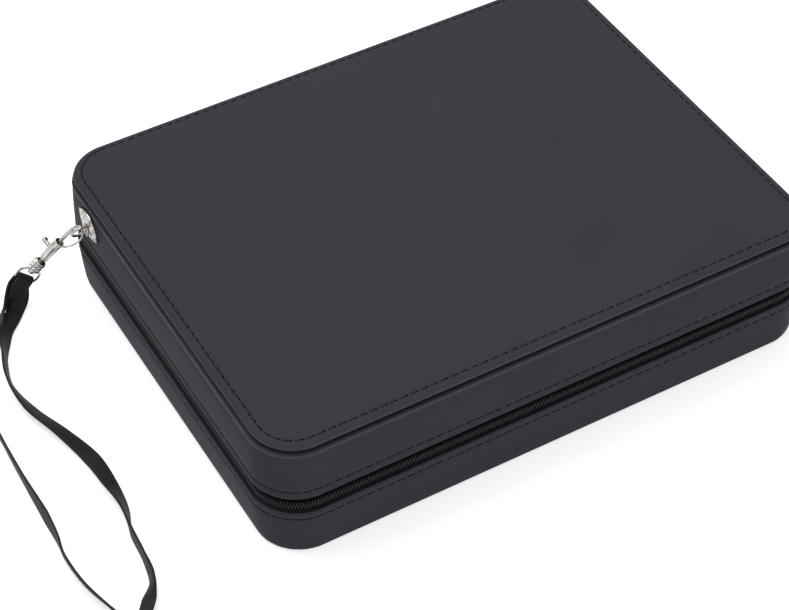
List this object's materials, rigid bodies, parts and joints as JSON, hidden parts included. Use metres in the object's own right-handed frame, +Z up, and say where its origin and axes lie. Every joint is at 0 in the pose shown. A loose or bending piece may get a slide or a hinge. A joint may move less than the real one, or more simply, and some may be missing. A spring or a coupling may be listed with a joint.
{
  "type": "travel backgammon set",
  "caption": "Travel backgammon set in a flat zip-around leatherette case with a swivel clasp and wrist strap; the hinged halves open to playing fields with troughs for checkers, dice and cups.",
  "frame": {"origin": "centre of the case's flat underside, on the table", "axes": "+X along the long side, to the end with the zip slider; +Y to the hinge side; +Z up"},
  "size_m": [0.2986, 0.1802, 0.055],
  "materials": {
    "leatherette": "fine grained, satin, charcoal black",
    "nickel": "polished nickel",
    "webbing": "flat stitched black strap",
    "zip_tape": "black tape with a nylon coil",
    "board": "matte black lining over board",
    "felt": "felt",
    "ivory_plastic": "polished ivory coloured plastic",
    "burgundy_plastic": "polished burgundy plastic"
  },
  "bodies": {
    "base": {"base_bottom_cover": "leatherette", "base_band": "leatherette", "base_tray": "board", "base_playing_field": "felt", "base_trough_divider": "board", "base_zip_half": "zip_tape"},
    "spine": {"spine_strip": "leatherette"},
    "lid": {"lid_top_cover": "leatherette", "lid_band": "leatherette", "lid_tray": "board", "lid_playing_field": "felt", "lid_trough_divider": "board", "lid_zip_half": "zip_tape", "anchor_plate": "nickel"},
    "clasp": {"anchor_ring": "nickel", "clasp_eye": "nickel", "strap_fold": "webbing"},
    "hook": {"clasp_hook": "nickel"},
    "trigger": {"clasp_trigger": "nickel"},
    "strap": {"wrist_strap": "webbing"},
    "slider": {"zip_slider": "nickel"},
    "puller": {"zip_puller": "nickel"},
    "light_checkers": {"light_checker_01": "ivory_plastic", "light_checker_02": "ivory_plastic", "light_checker_03": "ivory_plastic", "light_checker_04": "ivory_plastic", "light_checker_05": "ivory_plastic", "light_checker_06": "ivory_plastic", "light_checker_07": "ivory_plastic", "light_checker_08": "ivory_plastic", "light_checker_09": "ivory_plastic", "light_checker_10": "ivory_plastic", "light_checker_11": "ivory_plastic", "light_checker_12": "ivory_plastic", "light_checker_13": "ivory_plastic", "light_checker_14": "ivory_plastic", "light_checker_15": "ivory_plastic"},
    "dark_checkers": {"dark_checker_01": "burgundy_plastic", "dark_checker_02": "burgundy_plastic", "dark_checker_03": "burgundy_plastic", "dark_checker_04": "burgundy_plastic", "dark_checker_05": "burgundy_plastic", "dark_checker_06": "burgundy_plastic", "dark_checker_07": "burgundy_plastic", "dark_checker_08": "burgundy_plastic", "dark_checker_09": "burgundy_plastic", "dark_checker_10": "burgundy_plastic", "dark_checker_11": "burgundy_plastic", "dark_checker_12": "burgundy_plastic", "dark_checker_13": "burgundy_plastic", "dark_checker_14": "burgundy_plastic", "dark_checker_15": "burgundy_plastic"},
    "light_dice": {"light_die_front": "ivory_plastic", "light_die_back": "ivory_plastic"},
    "dark_dice": {"dark_die_front": "burgundy_plastic", "dark_die_back": "burgundy_plastic"},
    "doubling_cube": {"doubling_cube": "ivory_plastic"},
    "cup_front": {"dice_cup_front": "leatherette"},
    "cup_back": {"dice_cup_back": "leatherette"}
  },
  "joints": [
    {"name": "case_spine_fold", "type": "hinge", "parent": "base", "child": "spine", "pos_m": [0, 0.0893, 0.0205], "axis": [-1, 0, 0], "range_deg": [0, 41.41]},
    {"name": "case_lid_fold", "type": "hinge", "parent": "spine", "child": "lid", "pos_m": [0, 0.0893, 0.0285], "axis": [-1, 0, 0], "range_deg": [0, 138.59]},
    {"name": "clasp_ring_turn", "type": "hinge", "parent": "lid", "child": "clasp", "pos_m": [-0.11965, 0.05918, 0.04313], "axis": [1, 0, 0], "range_deg": [0, 62.46]},
    {"name": "clasp_strap_turn", "type": "hinge", "parent": "clasp", "child": "strap", "pos_m": [-0.1412, 0.08113, 0.00844], "axis": [1, 0, 0], "range_deg": [0, 117.55]},
    {"name": "clasp_swivel", "type": "hinge", "parent": "clasp", "child": "hook", "pos_m": [-0.121, 0.063, 0.04215], "axis": [-0.467, 0.389, -0.7941], "range_deg": [-12, 12]},
    {"name": "clasp_trigger_slide", "type": "slide", "parent": "hook", "child": "trigger", "axis": [-0.467, 0.389, -0.7941], "range_m": [0, 0.0035], "stiffness_N_per_m": 300, "springref_m": -0.001},
    {"name": "zip_slider_run", "type": "slide", "parent": "base", "child": "slider", "axis": [0, -1, 0], "range_m": [0, 0.12]},
    {"name": "zip_puller_swing", "type": "hinge", "parent": "slider", "child": "puller", "pos_m": [0.1175, 0.06, 0.0245], "axis": [0, 0, 1], "range_deg": [0, 170]},
    {"name": "light_checkers_lift", "type": "slide", "parent": "base", "child": "light_checkers", "axis": [0, 0, 1], "range_m": [0, 0.022]},
    {"name": "dark_checkers_lift", "type": "slide", "parent": "base", "child": "dark_checkers", "axis": [0, 0, 1], "range_m": [0, 0.022]},
    {"name": "light_dice_lift", "type": "slide", "parent": "base", "child": "light_dice", "axis": [0, 0, 1], "range_m": [0, 0.03]},
    {"name": "dark_dice_lift", "type": "slide", "parent": "base", "child": "dark_dice", "axis": [0, 0, 1], "range_m": [0, 0.03]},
    {"name": "doubling_cube_lift", "type": "slide", "parent": "base", "child": "doubling_cube", "axis": [0, 0, 1], "range_m": [0, 0.03]},
    {"name": "dice_cup_front_slide", "type": "slide", "parent": "base", "child": "cup_front", "axis": [1, 0, 0], "range_m": [0, 0.16]},
    {"name": "dice_cup_back_slide", "type": "slide", "parent": "base", "child": "cup_back", "axis": [1, 0, 0], "range_m": [0, 0.16]}
  ],
  "couplings": [
    {"joint": "case_spine_fold", "follows": "case_lid_fold", "ratio": 0.29879},
    {"joint": "clasp_ring_turn", "follows": "case_lid_fold", "ratio": 0.45066},
    {"joint": "clasp_strap_turn", "follows": "case_lid_fold", "ratio": 0.84813}
  ]
}
